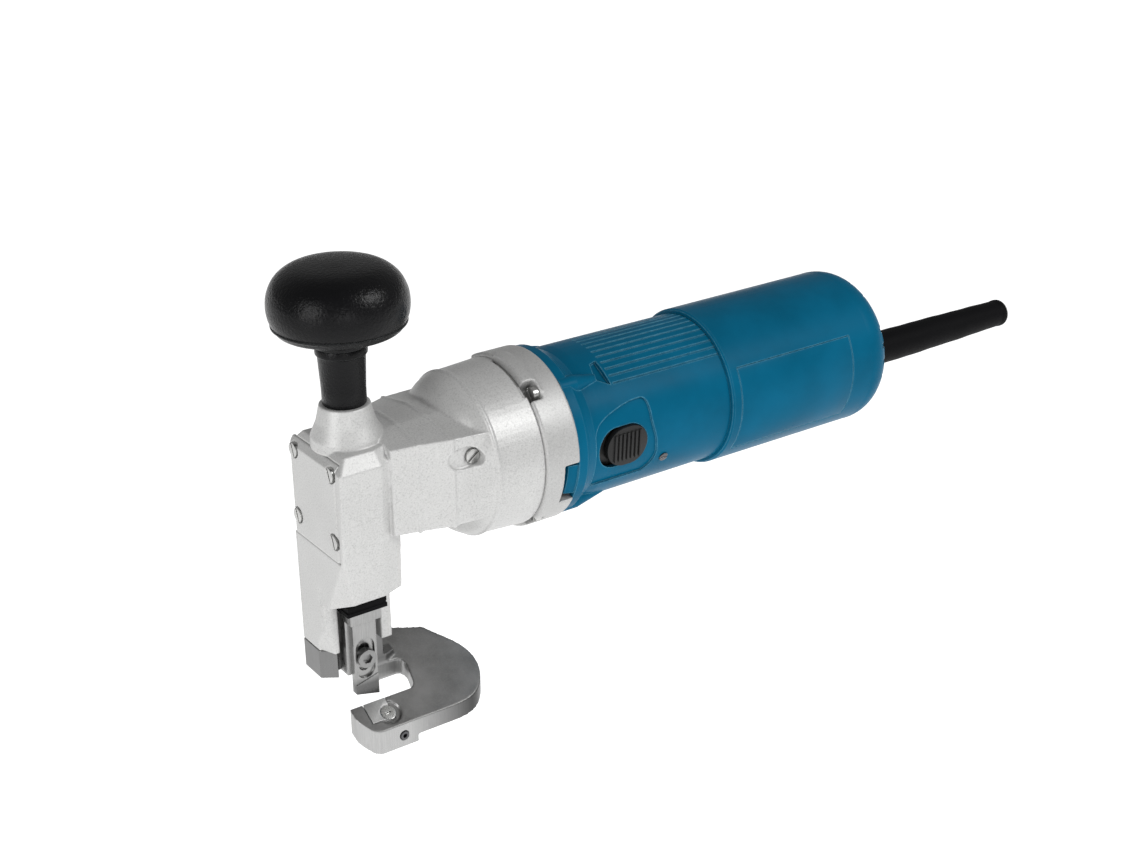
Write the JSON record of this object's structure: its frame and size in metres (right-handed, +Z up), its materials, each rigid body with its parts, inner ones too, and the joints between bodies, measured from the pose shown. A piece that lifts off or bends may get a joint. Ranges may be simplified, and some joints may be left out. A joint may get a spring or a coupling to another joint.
{
  "type": "electric sheet metal shear",
  "caption": "Hand-held electric sheet metal shear: motor with slide switch, angle gear head, palm knob, driven upper blade and C-shaped table with lower blade.",
  "frame": {"origin": "cutting point: the shearing plane of the blades on the ram's centre line, at the height of the lower blade's edge", "axes": "+X back along the motor axis towards the cord end, +Y away from the lower blade's arm to the table's mounting side, +Z up along the ram towards the knob"},
  "size_m": [0.417, 0.078, 0.2201],
  "materials": {
    "cast_alloy": "sand-cast, fine grain",
    "blue_plastic": "fine-grained moulded plastic",
    "knob_black": "fine leather-like grain",
    "black_plastic": "satin",
    "sleeve_rubber": "matt",
    "tool_steel": "ground",
    "table_steel": "hardened, dark, brushed",
    "dark_steel": "blackened",
    "screw_steel": "zinc plated",
    "bearing_steel": "ground",
    "lamination": "stacked sheet",
    "copper": "enamelled wire and turned copper",
    "bronze": "machined",
    "capacitor_yellow": "satin",
    "carbon": "pressed carbon"
  },
  "bodies": {
    "machine": {"gear_housing": "cast_alloy", "front_cover": "cast_alloy", "cover_screws": "screw_steel", "side_screws": "screw_steel", "bearing_flange": "cast_alloy", "flange_screws": "screw_steel", "motor_housing": "blue_plastic", "grip_screws": "screw_steel", "rear_cap": "blue_plastic", "name_plate": "blue_plastic", "cap_screws": "screw_steel", "bend_sleeve": "sleeve_rubber", "switch_body": "black_plastic", "suppression_capacitor": "capacitor_yellow", "terminal_block": "black_plastic", "cord_clamp": "black_plastic", "clamp_screws": "screw_steel", "stator_core": "lamination", "field_coils": "copper", "stator_screws": "screw_steel", "brush_holders": "black_plastic", "carbon_brushes": "carbon", "brush_springs": "bearing_steel", "crank_bearing_front": "bearing_steel", "crank_bearing_rear": "bearing_steel", "layshaft_bearing_front": "bearing_steel", "layshaft_bearing_rear": "bearing_steel", "rotor_bearing_front": "bearing_steel", "rotor_bearing_rear": "bearing_steel", "ram_guide": "bronze", "ram_seal": "sleeve_rubber", "cutting_table": "table_steel", "lower_blade": "tool_steel", "lower_blade_screw": "screw_steel", "clearance_set_screw": "dark_steel", "table_screws": "dark_steel", "knob_stem": "knob_black", "knob": "knob_black", "knob_stud": "dark_steel"},
    "rotor": {"rotor_shaft": "bearing_steel", "rotor_core": "lamination", "rotor_windings": "copper", "commutator": "copper", "fan": "black_plastic"},
    "layshaft": {"layshaft": "bearing_steel", "layshaft_gear": "bearing_steel"},
    "crank": {"crank_shaft": "bearing_steel", "crank_gear": "bearing_steel", "eccentric_bearing": "bearing_steel"},
    "ram": {"ram": "tool_steel", "upper_blade": "tool_steel", "upper_blade_screw": "dark_steel"},
    "switch": {"switch_button": "black_plastic", "switch_link": "black_plastic"}
  },
  "joints": [
    {"name": "rotor_spin", "type": "hinge", "parent": "machine", "child": "rotor", "pos_m": [0.1, 0.005, 0.104], "axis": [1, 0, 0], "continuous": true},
    {"name": "layshaft_spin", "type": "hinge", "parent": "machine", "child": "layshaft", "pos_m": [0.06, 0.005, 0.0868], "axis": [1, 0, 0], "continuous": true},
    {"name": "crank_spin", "type": "hinge", "parent": "machine", "child": "crank", "pos_m": [0.04, 0.005, 0.104], "axis": [1, 0, 0], "continuous": true},
    {"name": "ram_stroke", "type": "slide", "parent": "machine", "child": "ram", "axis": [0, 0, -1], "range_m": [0, 0.006]},
    {"name": "switch_slide", "type": "slide", "parent": "machine", "child": "switch", "axis": [-1, 0, 0], "range_m": [0, 0.004]}
  ],
  "couplings": [
    {"joint": "layshaft_spin", "follows": "rotor_spin", "ratio": -0.26471},
    {"joint": "crank_spin", "follows": "rotor_spin", "ratio": 0.090993}
  ]
}
